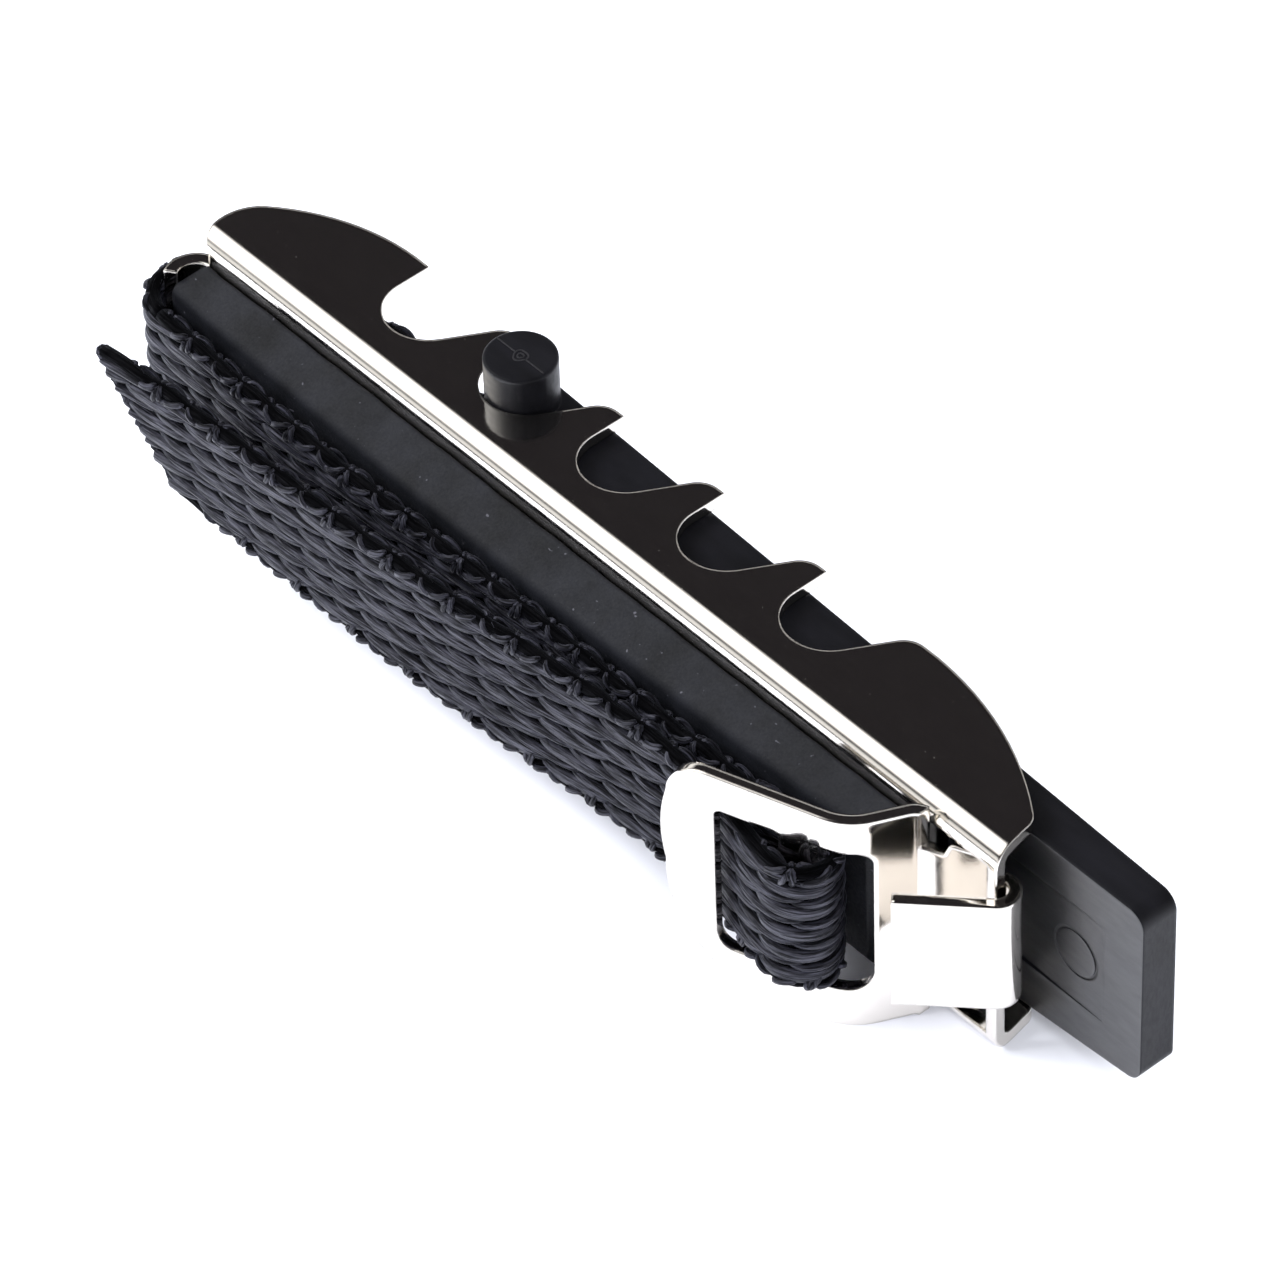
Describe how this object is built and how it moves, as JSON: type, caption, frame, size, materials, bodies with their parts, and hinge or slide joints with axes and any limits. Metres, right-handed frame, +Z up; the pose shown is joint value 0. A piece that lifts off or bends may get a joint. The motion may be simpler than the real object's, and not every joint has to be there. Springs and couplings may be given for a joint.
{
  "type": "toggle capo",
  "caption": "Toggle capo: notched steel channel bar with a rubber pad, webbing strap, hinged strap buckle and a black pegged lever that locks in the notches.",
  "frame": {"origin": "on the outer face of the bottom flange, half way along the bar and half way across the flange", "axes": "+X along the bar towards the buckle end, +Y from the pad towards the notches, +Z up from the bottom flange to the top flange"},
  "size_m": [0.0733, 0.0156, 0.0193],
  "materials": {
    "nickel": "nickel plated, polished",
    "buckle_nickel": "nickel plated, polished",
    "rubber": "matte dark grey rubber",
    "lever_plastic": "satin black moulded plastic",
    "webbing": "woven black nylon webbing",
    "thread": "black polyester thread"
  },
  "bodies": {
    "bar": {"channel_bar": "nickel", "rubber_pad": "rubber", "strap_channel_run": "webbing", "strap_lip_turn": "webbing", "strap_front_run": "webbing"},
    "lever": {"toggle_lever": "lever_plastic", "strap_lever_loop": "webbing", "loop_stitches": "thread"},
    "buckle": {"strap_buckle": "buckle_nickel", "strap_buckle_fold": "webbing", "strap_tail": "webbing"}
  },
  "joints": [
    {"name": "lever_swing", "type": "hinge", "parent": "bar", "child": "lever", "pos_m": [-0.01105, 0.0013, 0.00745], "axis": [0, 0, 1], "range_deg": [0, 120]},
    {"name": "buckle_swing", "type": "hinge", "parent": "bar", "child": "buckle", "pos_m": [0.03105, -0.00335, 0.0076], "axis": [0, 0, 1], "range_deg": [0, 40]}
  ]
}
